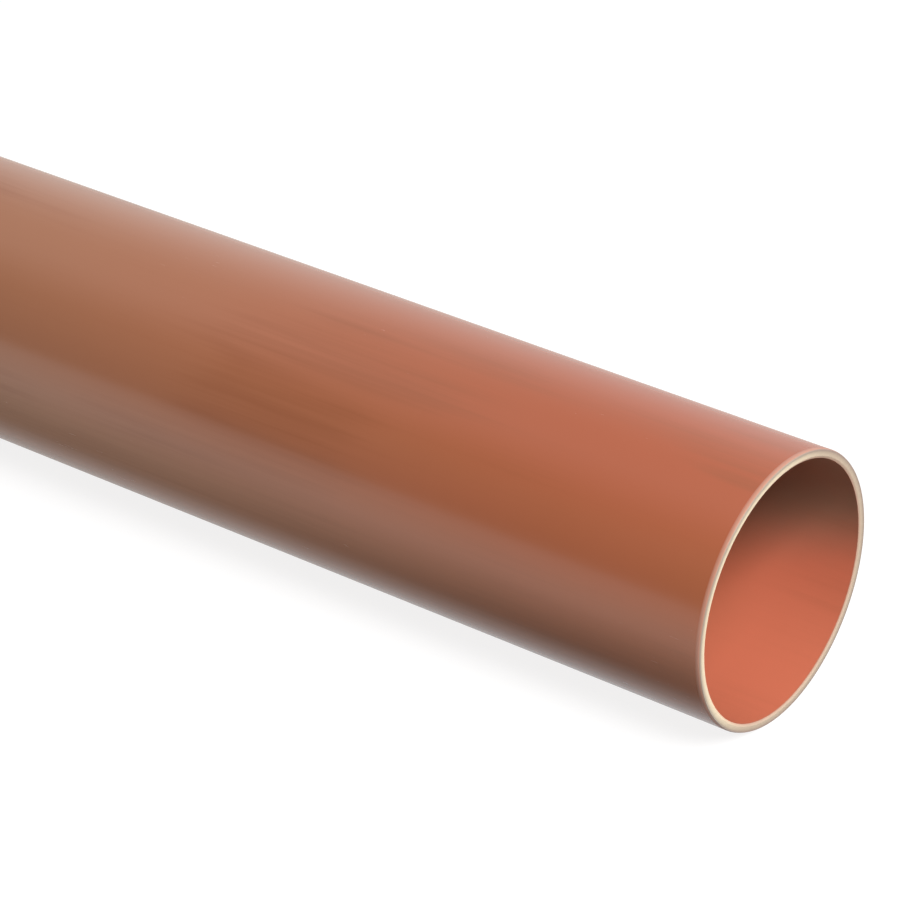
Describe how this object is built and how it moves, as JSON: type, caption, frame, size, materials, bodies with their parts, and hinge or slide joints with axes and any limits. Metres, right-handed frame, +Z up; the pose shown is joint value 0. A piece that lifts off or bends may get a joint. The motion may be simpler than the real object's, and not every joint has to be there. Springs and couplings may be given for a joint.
{
  "type": "pvc sewer pipe",
  "caption": "Straight 110 mm foam core PVC sewer pipe, plain dressed ends, brown skins over a cream core.",
  "frame": {"origin": "on the floor under the middle of the pipe's length, where the pipe lies on it", "axes": "+X along the pipe, towards the end that the picture shows; +Z up; +Y completes a right-handed frame"},
  "size_m": [1, 0.11, 0.11],
  "materials": {
    "skin": "satin",
    "core": "matte"
  },
  "bodies": {
    "root": {"outer_skin": "skin", "foam_core": "core", "inner_skin": "skin"}
  },
  "joints": []
}
